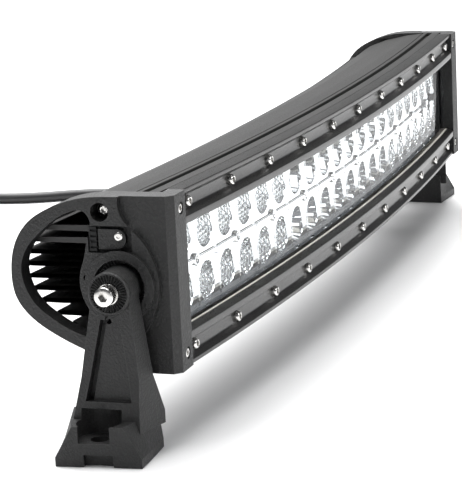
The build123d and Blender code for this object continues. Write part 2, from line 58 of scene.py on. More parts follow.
# ---- the part's own dimensions, in mm: depth is measured back from the bezel screw heads ----
MM = 0.001
ARC_R = 3050.0
FRONT_Y = -40.7
MID_Z = 74.5
ARC_Y = FRONT_Y + ARC_R
BODY_X = 266.0
LIP_X = 259.5
HALF_H = 39.5
APERTURE = 22.5
PITCH = 25.0
COLUMNS = 20
MODULE = 2 * PITCH
MODULES = COLUMNS // 2
SCREW_H = 32.4
CAP_X = 278.5
CAP_FRONT_D = 9.3
CAP_SCREW_X = 265.2
PIVOT_D = 34.2
DISC_X = 292.4
BACK_D = 28.0
LENS_H = 28.5           # half-height of the lens
CHANNEL_H = 29.0        # half-height of the housing's front channel
TOOTH_R = 5.0           # inner radius of the serrated disc's teeth
BOLT_OUT = 7.0          # pivot bolt's head, out from the disc
BOLT_R = 4.3            # radius of its head
EDGE_GAP = 0.35         # half the gap between two reflector modules

FLOOR_SIDE = "left_bracket"
BAR = "light_bar"
FAR_SIDE = "right_bracket"


# ---- camera ----
def camera():
    yaw, pitch, roll = 1.24094, -0.21724, -0.04809
    ahead = Vector((cos(pitch) * sin(yaw), cos(pitch) * cos(yaw), sin(pitch)))
    right = ahead.cross(Vector((0, 0, 1))).normalized()
    up = right.cross(ahead)
    x_axis = right * cos(roll) + up * sin(roll)
    y_axis = up * cos(roll) - right * sin(roll)
    data = bpy.data.cameras.new("camera")
    data.sensor_width = 36.0
    data.lens = 161.0
    data.clip_start = 0.01
    data.clip_end = 60.0
    cam = bpy.data.objects.new("camera", data)
    rotation = Matrix((x_axis, y_axis, -ahead)).transposed().to_4x4()
    cam.matrix_world = Matrix.Translation((-1.1603, -0.3598, 0.2972)) @ rotation
    bpy.context.scene.collection.objects.link(cam)
    bpy.context.scene.camera = cam


camera()
bpy.context.scene.view_settings.view_transform = "Standard"


# ---- materials ----
def shader(name):
    material = bpy.data.materials.new(name)
    material.use_nodes = True
    tree = material.node_tree
    return material, tree, tree.nodes["Principled BSDF"]


def add(tree, kind, values=None, **settings):
    node = tree.nodes.new(kind)
    for key, value in settings.items():
        setattr(node, key, value)
    for key, value in (values or {}).items():
        node.inputs[key].default_value = value
    return node


def coordinates(tree, scale=(1, 1, 1), source="Object"):
    place = add(tree, "ShaderNodeTexCoord")
    mapping = add(tree, "ShaderNodeMapping", {"Scale": scale})
    tree.links.new(place.outputs[source], mapping.inputs["Vector"])
    return mapping.outputs["Vector"]


def noise(tree, vector, scale, detail=2.0, roughness=0.5):
    node = add(tree, "ShaderNodeTexNoise", {"Scale": scale, "Detail": detail, "Roughness": roughness})
    tree.links.new(vector, node.inputs["Vector"])
    return node.outputs["Fac"]


def ramp(tree, value, stops):
    node = add(tree, "ShaderNodeValToRGB")
    elements = node.color_ramp.elements
    while len(elements) < len(stops):
        elements.new(0.5)
    for element, (position, colour) in zip(elements, stops):
        element.position = position
        element.color = (*colour, 1) if isinstance(colour, tuple) else (colour, colour, colour, 1)
    tree.links.new(value, node.inputs["Fac"])
    return node.outputs["Color"]


def bump(tree, height, strength, distance, normal=None):
    node = add(tree, "ShaderNodeBump", {"Strength": strength, "Distance": distance})
    tree.links.new(height, node.inputs["Height"])
    if normal is not None:
        tree.links.new(normal, node.inputs["Normal"])
    return node.outputs["Normal"]


def edge_highlight_and_wear_mask(tree, radius):
    """White on the outer edges of a piece: painted highlight on the edges, together with wear where the
    finish is thin.
    """
    soft = add(tree, "ShaderNodeBevel", {"Radius": radius}, samples=4)
    true = add(tree, "ShaderNodeNewGeometry")
    dot = add(tree, "ShaderNodeVectorMath", operation="DOT_PRODUCT")
    tree.links.new(soft.outputs["Normal"], dot.inputs[0])
    tree.links.new(true.outputs["Normal"], dot.inputs[1])
    return ramp(tree, dot.outputs["Value"], [(0.72, 1.0), (0.97, 0.0)])


def mix(tree, factor, a, b):
    node = add(tree, "ShaderNodeMix", data_type="RGBA")
    for socket, value in ((node.inputs["Factor"], factor), (node.inputs["A"], a), (node.inputs["B"], b)):
        if isinstance(value, (tuple, float)):
            socket.default_value = value
        else:
            tree.links.new(value, socket)
    return node.outputs["Result"]


def powder_coat():
    """Cast aluminium under a fine-textured black powder coat."""
    material, tree, bsdf = shader("cast_powder_coat")
    spot = coordinates(tree)
    grain = noise(tree, spot, 900, 3.0, 0.6)
    drift = noise(tree, spot, 55, 3.0)
    body = ramp(tree, drift, [(0.3, (0.007, 0.007, 0.007)), (0.7, (0.013, 0.013, 0.013))])
    fleck = ramp(tree, grain, [(0.5, 0.0), (0.72, 0.5)])
    speckled = mix(tree, fleck, body, (0.05, 0.05, 0.049, 1))
    # Lighter colour on the edges, patchy with the drift: painted edge highlight, together with wear.
    edge_highlight_and_wear = edge_highlight_and_wear_mask(tree, 0.0007)
    patchy_edge_highlight_and_wear = add(tree, "ShaderNodeMath", operation="MULTIPLY")
    tree.links.new(edge_highlight_and_wear, patchy_edge_highlight_and_wear.inputs[0])
    tree.links.new(ramp(tree, drift, [(0.3, 0.25), (0.7, 0.8)]), patchy_edge_highlight_and_wear.inputs[1])
    tree.links.new(mix(tree, patchy_edge_highlight_and_wear.outputs[0], speckled, (0.09, 0.09, 0.09, 1)), bsdf.inputs["Base Color"])
    tree.links.new(ramp(tree, grain, [(0.3, 0.42), (0.7, 0.62)]), bsdf.inputs["Roughness"])
    tree.links.new(bump(tree, grain, 0.9, 0.0006), bsdf.inputs["Normal"])
    bsdf.inputs["Specular IOR Level"].default_value = 0.5
    return material


def extrusion(name, low, high, rough):
    """Satin black extruded aluminium, with faint die lines along its length."""
    material, tree, bsdf = shader(name)
    line = coordinates(tree, (2.0, 900.0, 1.0), "UV")
    line_noise = noise(tree, line, 1.0, 4.0, 0.6)
    drift = noise(tree, coordinates(tree), 24, 3.0)
    grain = noise(tree, coordinates(tree), 1600, 2.0)
    body = ramp(tree, drift, [(0.3, low), (0.7, high)])
    streaks = ramp(tree, line_noise, [(0.55, 0.0), (0.8, 0.35)])
    body = mix(tree, streaks, body, tuple(3.0 * c for c in high) + (1,))
    # Faintly lighter edges: painted edge highlight, together with wear.
    edge_highlight_and_wear = edge_highlight_and_wear_mask(tree, 0.0004)
    faint = add(tree, "ShaderNodeMath", {1: 0.35}, operation="MULTIPLY")
    tree.links.new(edge_highlight_and_wear, faint.inputs[0])
    tree.links.new(mix(tree, faint.outputs[0], body, (0.16, 0.155, 0.15, 1)), bsdf.inputs["Base Color"])
    tree.links.new(ramp(tree, grain, [(0.3, rough - 0.06), (0.7, rough + 0.08)]), bsdf.inputs["Roughness"])
    lines = bump(tree, line_noise, 0.25, 0.00005)
    tree.links.new(bump(tree, grain, 0.12, 0.0001, lines), bsdf.inputs["Normal"])
    return material


def metal(name, low, high, rough, grain_scale=900, strength=0.08):
    """Bare or plated metal with a fine uneven polish."""
    material, tree, bsdf = shader(name)
    spot = coordinates(tree)
    grain = noise(tree, spot, grain_scale, 3.0)
    drift = noise(tree, spot, 90, 2.0)
    tree.links.new(ramp(tree, drift, [(0.3, low), (0.7, high)]), bsdf.inputs["Base Color"])
    tree.links.new(ramp(tree, grain, [(0.3, rough * 0.6), (0.7, rough * 1.4)]), bsdf.inputs["Roughness"])
    tree.links.new(bump(tree, grain, strength, 0.00005), bsdf.inputs["Normal"])
    bsdf.inputs["Metallic"].default_value = 1.0
    return material


def plastic(name, low, high, rough, grain_scale, strength, specular=0.5):
    """Moulded plastic or rubber, lightly textured."""
    material, tree, bsdf = shader(name)
    spot = coordinates(tree)
    grain = noise(tree, spot, grain_scale, 3.0)
    drift = noise(tree, spot, 70, 3.0)
    tree.links.new(ramp(tree, drift, [(0.3, low), (0.7, high)]), bsdf.inputs["Base Color"])
    tree.links.new(ramp(tree, grain, [(0.3, rough - 0.08), (0.7, rough + 0.1)]), bsdf.inputs["Roughness"])
    tree.links.new(bump(tree, grain, strength, 0.0002), bsdf.inputs["Normal"])
    bsdf.inputs["Specular IOR Level"].default_value = specular
    return material


def lens_clear():
    """Clear polycarbonate: what is behind it shows, with a faint cool tint and reflections."""
    material, tree, bsdf = shader("lens_clear")
    drift = noise(tree, coordinates(tree), 18, 2.0)
    tree.links.new(ramp(tree, drift, [(0.3, 0.02), (0.7, 0.05)]), bsdf.inputs["Roughness"])
    bsdf.inputs["Base Color"].default_value = (0.9, 0.93, 0.95, 1)
    bsdf.inputs["IOR"].default_value = 1.5
    clear = add(tree, "ShaderNodeBsdfTransparent", {"Color": (0.985, 0.992, 0.995, 1)})
    facing = add(tree, "ShaderNodeLayerWeight", {"Blend": 0.5})
    sheen = ramp(tree, facing.outputs["Facing"], [(0.0, 0.015), (0.6, 0.03), (0.82, 0.08), (1.0, 0.5)])
    joined = add(tree, "ShaderNodeMixShader")
    tree.links.new(sheen, joined.inputs["Fac"])
    tree.links.new(clear.outputs["BSDF"], joined.inputs[1])
    gloss = add(tree, "ShaderNodeBsdfGlossy", {"Color": (1, 1, 1, 1), "Roughness": 0.03})
    tree.links.new(gloss.outputs["BSDF"], joined.inputs[2])
    tree.nodes.remove(bsdf)
    tree.links.new(joined.outputs["Shader"], tree.nodes["Material Output"].inputs["Surface"])
    return material


CAST = powder_coat()
EXTRUSION = extrusion("extrusion_satin", (0.012, 0.012, 0.011), (0.020, 0.019, 0.018), 0.36)
BEZEL = extrusion("bezel_satin", (0.012, 0.012, 0.011), (0.019, 0.018, 0.017), 0.32)
STEEL = metal("stainless_steel", (0.56, 0.55, 0.53), (0.72, 0.71, 0.69), 0.22)
# Pale colour on the black bezels' lip ledge: a painted highlight line along the lens edge.
PAINTED_LIP_HIGHLIGHT = plastic("painted_lip_highlight", (0.72, 0.68, 0.60), (0.86, 0.82, 0.74), 0.35, 900, 0.05)
CHROME = metal("reflector_chrome", (0.86, 0.87, 0.88), (0.93, 0.94, 0.94), 0.06, 400, 0.03)
CLEAR = lens_clear()
BOARD = plastic("board_solder_mask", (0.72, 0.73, 0.70), (0.80, 0.80, 0.78), 0.4, 700, 0.1)
PHOSPHOR = plastic("led_phosphor", (0.80, 0.62, 0.12), (0.88, 0.72, 0.2), 0.35, 900, 0.1)
DOME = plastic("led_dome", (0.86, 0.80, 0.52), (0.92, 0.88, 0.62), 0.12, 300, 0.02)
RUBBER = plastic("moulded_rubber", (0.012, 0.012, 0.012), (0.022, 0.022, 0.023), 0.62, 1300, 0.3, 0.35)
SEAL = plastic("silicone_seal", (0.02, 0.02, 0.02), (0.035, 0.035, 0.035), 0.55, 900, 0.2)
NYLON = plastic("moulded_nylon", (0.016, 0.016, 0.017), (0.026, 0.026, 0.027), 0.42, 1100, 0.25)
SHEATH = plastic("cable_sheath", (0.011, 0.011, 0.012), (0.020, 0.020, 0.021), 0.45, 1500, 0.18)
CORE = plastic("core_insulation", (0.35, 0.02, 0.02), (0.5, 0.03, 0.03), 0.4, 800, 0.1)


# ---- mesh helpers: they take millimetres and give meshes in metres ----
def mesh_piece(name, verts, faces, material, body, stands_for=(), smooth=40, uvs=None, marks=None):
    mesh = bpy.data.meshes.new(name)
    mesh.from_pydata([tuple(MM * c for c in v) for v in verts], [], faces)
    materials = material if isinstance(material, list) else [material]
    for item in materials:
        mesh.materials.append(item)
    if marks is not None:
        mesh.polygons.foreach_set("material_index", marks)
    if uvs is not None:
        layer = mesh.uv_layers.new(name="along")
        for loop in mesh.loops:
            layer.data[loop.index].uv = uvs[loop.vertex_index]
    fix = bmesh.new()
    fix.from_mesh(mesh)
    bmesh.ops.recalc_face_normals(fix, faces=fix.faces[:])
    fix.to_mesh(mesh)
    fix.free()
    mesh.shade_smooth()
    if smooth < 180:
        mesh.set_sharp_from_angle(angle=radians(smooth))
    obj = bpy.data.objects.new(name, mesh)
    bpy.context.scene.collection.objects.link(obj)
    if body:
        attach(obj, body)
    if stands_for:
        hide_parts(*stands_for)
    return obj


def arc_point(s, depth, height):
    a = s / ARC_R
    r = ARC_R - depth
    return (r * sin(a), ARC_Y - r * cos(a), MID_Z + height)


def arc_frame(s, depth, height):
    """Local x along the bar, y into the bar, z up, at a place on the arc."""
    a = s / ARC_R
    turn = Matrix.Rotation(a, 4, "Z")
    return Matrix.Translation(arc_point(s, depth, height)) @ turn


def rounded(points, radii, steps=3):
    """A polygon with its corners turned into short arcs."""
    if isinstance(radii, (int, float)):
        radii = [radii] * len(points)
    found = []
    count = len(points)
    for i, (p, r) in enumerate(zip(points, radii)):
        p = Vector(p)
        a = Vector(points[i - 1]) - p
        b = Vector(points[(i + 1) % count]) - p
        if r <= 0:
            found.append(tuple(p))
            continue
        half = a.angle(b) / 2
        cut = min(r / max(1e-6, abs(sin(half) / cos(half))), 0.45 * a.length, 0.45 * b.length)
        start = p + a.normalized() * cut
        end = p + b.normalized() * cut
        for k in range(steps + 1):
            t = k / steps
            found.append(tuple((1 - t) ** 2 * start + 2 * t * (1 - t) * p + t * t * end))
    return found


def swept(profile, half_x, stations):
    """Closed section of (depth, height) points along the arc, its ends cut square to X."""
    verts, faces, uvs = [], [], []
    n = len(profile)
    run = [0.0]
    for i in range(1, n):
        run.append(run[-1] + hypot(profile[i][0] - profile[i - 1][0], profile[i][1] - profile[i - 1][1]))
    for k in range(stations + 1):
        t = 2 * k / stations - 1
        for j, (d, h) in enumerate(profile):
            a = t * asin(half_x / (ARC_R - d))
            verts.append(arc_point(a * ARC_R, d, h))
            uvs.append((a * ARC_R * MM, run[j] * MM))
    for k in range(stations):
        for j in range(n):
            i = (j + 1) % n
            faces.append((k * n + j, k * n + i, (k + 1) * n + i, (k + 1) * n + j))
    ends = tessellate_polygon([[Vector((d, h, 0)) for d, h in profile]])
    last = stations * n
    faces += [tuple(reversed(f)) for f in ends]
    faces += [tuple(i + last for i in f) for f in ends]
    return verts, faces, uvs


class Solid:
    """Collects patches into one mesh."""

    def __init__(self):
        self.verts, self.faces, self.marks = [], [], []

    def put(self, verts, faces, place=None, mark=0):
        base = len(self.verts)
        for v in verts:
            self.verts.append(tuple(place @ Vector(v)) if place is not None else tuple(v))
        self.faces += [tuple(i + base for i in f) for f in faces]
        self.marks += [mark] * len(faces)

    def revolve(self, profile, place, segments=40, mark=0):
        """(radius, y) points turned about local Y."""
        verts, faces = [], []
        rings = []
        for r, y in profile:
            if r < 1e-6:
                rings.append([len(verts)])
                verts.append((0, y, 0))
                continue
            ring = []
            for k in range(segments):
                a = 2 * pi * k / segments
                ring.append(len(verts))
                verts.append((r * cos(a), y, r * sin(a)))
            rings.append(ring)
        for a, b in zip(rings, rings[1:]):
            for k in range(segments):
                i = (k + 1) % segments
                quad = [a[k % len(a)], a[i % len(a)], b[i % len(b)], b[k % len(b)]]
                faces.append(tuple(dict.fromkeys(quad)))
        self.put(verts, faces, place, mark)

    def box(self, low, high, place=None, mark=0, chamfer=0.0):
        """Block with its edges chamfered."""
        work = bmesh.new()
        bmesh.ops.create_cube(work, size=1.0)
        size = [b - a for a, b in zip(low, high)]
        mid = [(a + b) / 2 for a, b in zip(low, high)]
        for v in work.verts:
            v.co = Vector((v.co.x * size[0] + mid[0], v.co.y * size[1] + mid[1], v.co.z * size[2] + mid[2]))
        if chamfer > 0:
            bmesh.ops.bevel(work, geom=work.edges[:], offset=chamfer, segments=2, affect="EDGES")
        work.verts.index_update()
        verts = [tuple(v.co) for v in work.verts]
        faces = [tuple(v.index for v in f.verts) for f in work.faces]
        work.free()
        self.put(verts, faces, place, mark)

    def piece(self, name, material, body, stands_for=(), smooth=40):
        return mesh_piece(name, self.verts, self.faces, material, body, stands_for, smooth,
                          marks=self.marks)


# ---- the lead: route points of the part, in metres ----
ROUTE = [(0.2079, 0.0650, 0.0484), (0.2066, 0.0835, 0.0417), (0.2078, 0.1010, 0.0315),
         (0.2120, 0.1185, 0.0200), (0.2195, 0.1350, 0.0105), (0.2295, 0.1510, 0.0050),
         (0.2405, 0.1665, 0.0035), (0.2520, 0.1830, 0.0035), (0.2620, 0.2010, 0.0035),
         (0.2660, 0.2215, 0.0035), (0.2585, 0.2415, 0.0035), (0.2490, 0.2590, 0.0035),
         (0.2435, 0.2775, 0.0035), (0.2415, 0.2995, 0.0035), (0.2400, 0.3200, 0.0035),
         (0.2395, 0.3373, 0.0043)]
TAIL = [(0.1675, 0.3393, 0.0113), (0.1658, 0.3203, 0.0104), (0.1614, 0.3033, 0.0080)]
COIL_MID = (0.2035, 0.3433)
COIL_R = 0.0368
COIL_STEPS = 15         # points in one turn
COIL_LOW = 0.0043       # height of the lower turn's centre line
COIL_CLIMB = 0.0071     # rise from the lower turn to the one on it
CABLE_R = 0.0035


def coil_points():
    """A turn and a half, the second part lying on the first."""
    found = []
    for k in range(0, COIL_STEPS + COIL_STEPS // 2 + 1):
        turn = 360.0 * k / COIL_STEPS
        a = radians(turn)
        climb = min(1.0, max(0.0, (turn - 250.0) / 80.0))
        height = COIL_LOW + COIL_CLIMB * climb
        found.append((COIL_MID[0] + COIL_R * cos(a), COIL_MID[1] + COIL_R * sin(a), height))
    return found


def spline_points(points):
    curve = bpy.data.curves.new("lead_line", "CURVE")
    curve.dimensions = "3D"
    curve.resolution_u = 10
    spline = curve.splines.new("NURBS")
    spline.points.add(len(points) - 1)
    for target, p in zip(spline.points, points):
        target.co = (*p, 1.0)
    spline.order_u = 3
    spline.use_endpoint_u = True
    line = bpy.data.objects.new("lead_line", curve)
    bpy.context.scene.collection.objects.link(line)
    bpy.context.view_layer.update()
    mesh = bpy.data.meshes.new_from_object(line.evaluated_get(bpy.context.evaluated_depsgraph_get()))
    found = [v.co.copy() for v in mesh.vertices]
    bpy.data.objects.remove(line)
    bpy.data.curves.remove(curve)
    bpy.data.meshes.remove(mesh)
    return found


def tube_along(points, radius, segments=20):
    """Round tube that keeps its twist even along a smooth line."""
    verts, faces = [], []
    side = None
    for i, p in enumerate(points):
        way = (points[min(i + 1, len(points) - 1)] - points[max(i - 1, 0)]).normalized()
        if side is None:
            side = way.cross(Vector((0, 0, 1))).normalized()
        side = (side - way * side.dot(way)).normalized()
        up = way.cross(side)
        for k in range(segments):
            a = 2 * pi * k / segments
            v = p + radius * (cos(a) * side + sin(a) * up)
            verts.append(tuple(c / MM for c in v))
    for i in range(len(points) - 1):
        for k in range(segments):
            j = (k + 1) % segments
            near, far = i * segments, (i + 1) * segments
            faces.append((near + k, near + j, far + j, far + k))
    faces.append(tuple(range(segments)))
    faces.append(tuple((len(points) - 1) * segments + k for k in reversed(range(segments))))
    return verts, faces


lead_line = spline_points(ROUTE + coil_points() + TAIL)
verts, faces = tube_along(lead_line, CABLE_R)
lead = mesh_piece("lead", verts, faces, SHEATH, None,
                  ("power_cable", "power_cable_coil", "power_cable_tail"), smooth=60)
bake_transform(lead)


# ---- floor and light ----
def stage():
    material, _, bsdf = shader("pale_floor")
    bsdf.inputs["Base Color"].default_value = (0.9, 0.9, 0.9, 1)
    bsdf.inputs["Roughness"].default_value = 0.3
    bsdf.inputs["Specular IOR Level"].default_value = 0.4
    mesh = bpy.data.meshes.new("floor")
    w = 12.0
    mesh.from_pydata([(-w, -w, 0), (w, -w, 0), (w, w, 0), (-w, w, 0)], [], [(0, 1, 2, 3)])
    mesh.materials.append(material)
    floor = bpy.data.objects.new("floor", mesh)
    floor.location = (0, 0, -0.0002)
    floor.visible_diffuse = False
    bpy.context.scene.collection.objects.link(floor)


def softbox(name, place, aim, size, watts, colour=(1, 1, 1)):
    data = bpy.data.lights.new(name, "AREA")
    data.shape = "RECTANGLE"
    data.size, data.size_y = size
    data.energy = watts
    data.color = colour
    lamp = bpy.data.objects.new(name, data)
    lamp.location = place
    lamp.rotation_euler = (Vector(aim) - Vector(place)).to_track_quat("-Z", "Y").to_euler()
    bpy.context.scene.collection.objects.link(lamp)


def world(strength):
    sky = bpy.data.worlds.new("studio")
    sky.use_nodes = True
    back = sky.node_tree.nodes["Background"]
    back.inputs["Color"].default_value = (0.93, 0.95, 1.0, 1)
    back.inputs["Strength"].default_value = strength
    bpy.context.scene.world = sky


stage()
world(0.17)
softbox("overhead", (0.15, 0.15, 1.7), (0.1, 0.1, 0.0), (1.5, 1.5), 56)
softbox("far_floor", (2.4, 1.8, 3.6), (2.2, 1.4, 0.0), (3.0, 3.0), 330)
softbox("front", (-0.3, -1.4, 0.8), (0.1, 0.0, 0.08), (0.8, 0.5), 9)
softbox("key", (-1.2, 0.5, 1.1), (-0.28, 0.0, 0.06), (0.5, 0.5), 4.5)


# ---- housing: channel, curved back shell and serrated fins ----
SHELL_TOP = [(27.5, 38.2), (42.8, 35.0), (53.5, 31.0), (60.0, 27.0)]
SHELL_BOTTOM = [(24.5, -33.8), (39.5, -27.6), (49.0, -23.2), (52.0, -21.8)]
FIN_TIPS = [58, 65.5, 68.5, 70, 71.6, 71.5, 69.8, 66]
FIN_PITCH = 5.53
FIN_MID = 3.35
ROOT_D = 34.0
GLAND_S = 215.0
GLAND_TILT = radians(20)
GLAND_REACH = 42.0


def fin(k):
    """One fin's outline from its upper root round the tip to its lower root, with fine serrations."""
    h = FIN_MID + FIN_PITCH * (k - 3.5)
    tip = FIN_TIPS[k]
    count = int((tip - ROOT_D) / 0.95)
    upper = []
    for i in range(2 * count + 1):
        t = i / (2 * count)
        half = 1.4 - 0.4 * t + (0.2 if i % 2 else -0.06)
        upper.append((ROOT_D + (tip - ROOT_D) * t, half))
    outline = [(d, h + half) for d, half in upper]
    outline += [(tip + 0.35, h + 0.3), (tip + 0.35, h - 0.3)]
    return outline + [(d, h - half) for d, half in reversed(upper)]


def gland_place():
    """The gland's seat: y runs out of the bar and 20 degrees down, straight away from the tilt axis."""
    depth = ARC_R - (ARC_Y - FRONT_Y - PIVOT_D) / cos(GLAND_S / ARC_R)
    lean = Matrix.Rotation(-GLAND_TILT, 4, "X")
    return arc_frame(GLAND_S, depth, 0) @ lean @ Matrix.Translation((0, GLAND_REACH, 0))


def housing():
    top = rounded([(7.0, 39.5), (12.0, 39.5), (12.0, 37.6), (15.0, 37.6), (15.0, 39.5),
                   (17.3, 39.4), (17.5, 38.8), (18.3, 38.8), (18.5, 39.2)] + SHELL_TOP,
                  [0.0, 0.35, 0.2, 0.2, 0.35, 0.1, 0.1, 0.1, 0.1, 20.0, 12.0, 8.0, 0.5])
    under = [(59.2, 24.8), (52.7, 28.8), (42.0, 32.8), (ROOT_D, 34.4)]
    fins = [p for k in reversed(range(len(FIN_TIPS))) for p in fin(k)]
    lower_in = [(ROOT_D, -27.3), (38.7, -25.4), (48.2, -21.0), (51.2, -19.6)]
    bottom = rounded(list(reversed(SHELL_BOTTOM)) + [(10.0, -39.0), (7.0, -39.0)],
                     [0.5, 4.0, 12.0, 20.0, 1.0, 0.0])
    channel = [(7.0, -CHANNEL_H), (BACK_D, -CHANNEL_H), (BACK_D, CHANNEL_H), (7.0, CHANNEL_H)]
    verts, faces, uvs = swept(top + under + fins + lower_in + bottom + channel, BODY_X, 44)
    mesh_piece("housing_skin", verts, faces, EXTRUSION, BAR, ("housing",), 30, uvs)
    seat = Solid()
    seat.box((-11, -36, -10), (11, -0.05, 10), gland_place(), chamfer=0.7)
    seat.piece("gland_seat", EXTRUSION, BAR)


housing()


# ---- bezels and their screws ----
def bezel(side, name, node):
    """A front strip; its first face, the ledge that faces the window, is coloured pale as a painted
    highlight line.
    """
    points = [(3.9, APERTURE), (2.4, APERTURE), (-1.5, 24.0), (-1.5, 27.4), (2.3, 29.4), (2.3, 35.4),
              (-0.8, 37.6), (-0.8, HALF_H), (6.98, HALF_H), (6.98, 30.0), (3.9, 30.0)]
    radii = [0.0, 0.3, 0.7, 0.5, 1.4, 1.8, 0.5, 0.5, 0.4, 0.0, 0.0]
    section = [(d, side * h) for d, h in rounded(points, radii, 4)]
    stations = 80
    verts, faces, uvs = swept(section, LIP_X, stations)
    # The ledge faces along the lens take the pale painted highlight colour.
    marks = [0] * len(faces)
    for k in range(stations):
        marks[k * len(section)] = 1
    mesh_piece(name, verts, faces, [BEZEL, PAINTED_LIP_HIGHLIGHT], BAR, (node,), 35, uvs, marks)


bezel(1, "bezel_upper", "bezel_top")
bezel(-1, "bezel_lower", "bezel_bottom")


def screw_head(solid, place, radius, rise, socket, shank=6.0, segments=48):
    """Button head, top at local y = 0: hex socket, flat land, rounded crown, shank into local +y."""
    def hexagon(y):
        ring = []
        for k in range(segments):
            a = 2 * pi * k / segments
            r = socket / cos((a % (pi / 3)) - pi / 6) * cos(pi / 6)
            ring.append((r * cos(a), y, r * sin(a)))
        return ring

    def circle(r, y):
        return [(r * cos(2 * pi * k / segments), y, r * sin(2 * pi * k / segments)) for k in range(segments)]

    rings = [hexagon(rise * 0.62), hexagon(0.1), circle(socket * 1.18, 0.0)]
    for step in range(1, 6):
        a = radians(18 * step)
        flat = socket * 1.18
        rings.append(circle(flat + (radius - flat) * sin(a), (rise - 0.35) * (1 - cos(a))))
    rings += [circle(radius, rise), circle(1.5, rise), circle(1.5, rise + shank)]
    verts = [v for ring in rings for v in ring]
    faces = []
    for r in range(len(rings) - 1):
        for k in range(segments):
            i = (k + 1) % segments
            near, far = r * segments, (r + 1) * segments
            faces.append((near + k, near + i, far + i, far + k))
    faces.append(tuple(reversed(range(segments))))
    solid.put(verts, faces, place)


def screw_s(i):
    return (i - COLUMNS / 4) * MODULE


def bezel_screws(side, name, node):
    """A row of screws, each stopped at its own angle."""
    heads = Solid()
    for i in range(COLUMNS // 2 + 1):
        place = arc_frame(screw_s(i), 0, side * SCREW_H) @ Matrix.Rotation(0.9 * i + side, 4, "Y")
        screw_head(heads, place, 2.75, 2.25, 1.4)
    heads.piece(name, STEEL, BAR, (node,), 28)


bezel_screws(1, "screws_upper", "bezel_screws_top")
bezel_screws(-1, "screws_lower", "bezel_screws_bottom")


# ---- lens, reflectors, boards, LEDs ----
def lens():
    section = rounded([(4.0, LENS_H), (6.9, LENS_H), (6.9, -LENS_H), (4.0, -LENS_H)], 0.4, 2)
    verts, faces, uvs = swept(section, LIP_X - 0.5, 96)
    mesh_piece("lens_sheet", verts, faces, CLEAR, BAR, ("lens",), 35, uvs)


lens()

FACE_D = 10.7           # depth of the reflectors' face
CUP_R = 9.0             # mouth of a cup
CUP_D = 14.2
FLOOD_BACK_R = 5.2
SPOT_BACK_R = 3.6
TRAY_H = 22.6           # tray walls, inner and outer height
TRAY_OUT_H = 24.8
TRAY_LIP = 3.5          # the walls stand this far towards the lens
RIB_PROUD = 1.5
RAIL_PROUD = 1.1


def module_s(m):
    return (m - (MODULES - 1) / 2) * MODULE


def cup_radius(t, back_r):
    """Parabolic bowl, mouth at t = 0 and LED hole at t = 1."""
    return back_r + (CUP_R - back_r) * sqrt(max(0.0, 1 - t))


def flood_cup(solid, place, depth, back_r):
    """Bowl of small pillowed facets that spread the beam."""
    rings, sectors, fine = 9, 22, 3
    for i in range(rings):
        for j in range(sectors):
            verts = []
            for u in range(fine + 1):
                for v in range(fine + 1):
                    t = (i + u / fine) / rings
                    stagger = 0.5 * (i % 2)
                    a = 2 * pi * (j + stagger + v / fine) / sectors
                    swell = 0.34 * (1 - (2 * u / fine - 1) ** 2) * (1 - (2 * v / fine - 1) ** 2)
                    r = cup_radius(t ** 1.15 * 0.93, back_r) - swell
                    verts.append((r * cos(a), depth * t ** 1.15 * 0.93, r * sin(a)))
            faces = []
            for u in range(fine):
                for v in range(fine):
                    k = u * (fine + 1) + v
                    faces.append((k, k + 1, k + fine + 2, k + fine + 1))
            solid.put(verts, faces, place)
    solid.revolve([(cup_radius(0.93, back_r), depth * 0.93), (back_r, depth)], place, 44)


def spot_cup(solid, place, depth, back_r):
    profile = [(cup_radius((k / 14) ** 1.3, back_r), depth * (k / 14) ** 1.3) for k in range(15)]
    solid.revolve(profile, place, 48)


def face_plate(solid, place, dx, dz):
    """The flat round a cup: a quarter of the module less the cup's mouth."""
    segments = 44
    low = (0.0, 0.0) if dx > 0 else (-PITCH + EDGE_GAP, 0.0)
    high = (PITCH - EDGE_GAP, TRAY_H) if dx > 0 else (0.0, TRAY_H)
    corners = [(low[0], low[1]), (high[0], low[1]), (high[0], high[1]), (low[0], high[1])]
    if dz < 0:
        corners = [(x, -z) for x, z in corners]
    mid = (dx * PITCH / 2, dz * PITCH / 2)
    x0, x1 = min(c[0] for c in corners), max(c[0] for c in corners)
    z0, z1 = min(c[1] for c in corners), max(c[1] for c in corners)
    angles = [2 * pi * k / segments for k in range(segments)]
    angles += [atan2(z - mid[1], x - mid[0]) % (2 * pi) for x, z in corners]
    angles.sort()
    verts = []
    for a in angles:
        c, s = cos(a), sin(a)
        reach = min(((x1 if c > 0 else x0) - mid[0]) / c if abs(c) > 1e-9 else 1e9,
                    ((z1 if s > 0 else z0) - mid[1]) / s if abs(s) > 1e-9 else 1e9)
        verts.append((mid[0] + (CUP_R - 0.1) * c, 0.35, mid[1] + (CUP_R - 0.1) * s))
        verts.append((mid[0] + (CUP_R + 0.3) * c, 0.0, mid[1] + (CUP_R + 0.3) * s))
        verts.append((mid[0] + reach * c, 0.0, mid[1] + reach * s))
    faces = []
    n = len(angles)
    for k in range(n):
        i = (k + 1) % n
        faces.append((3 * k, 3 * i, 3 * i + 1, 3 * k + 1))
        faces.append((3 * k + 1, 3 * i + 1, 3 * i + 2, 3 * k + 2))
    solid.put(verts, faces, place)


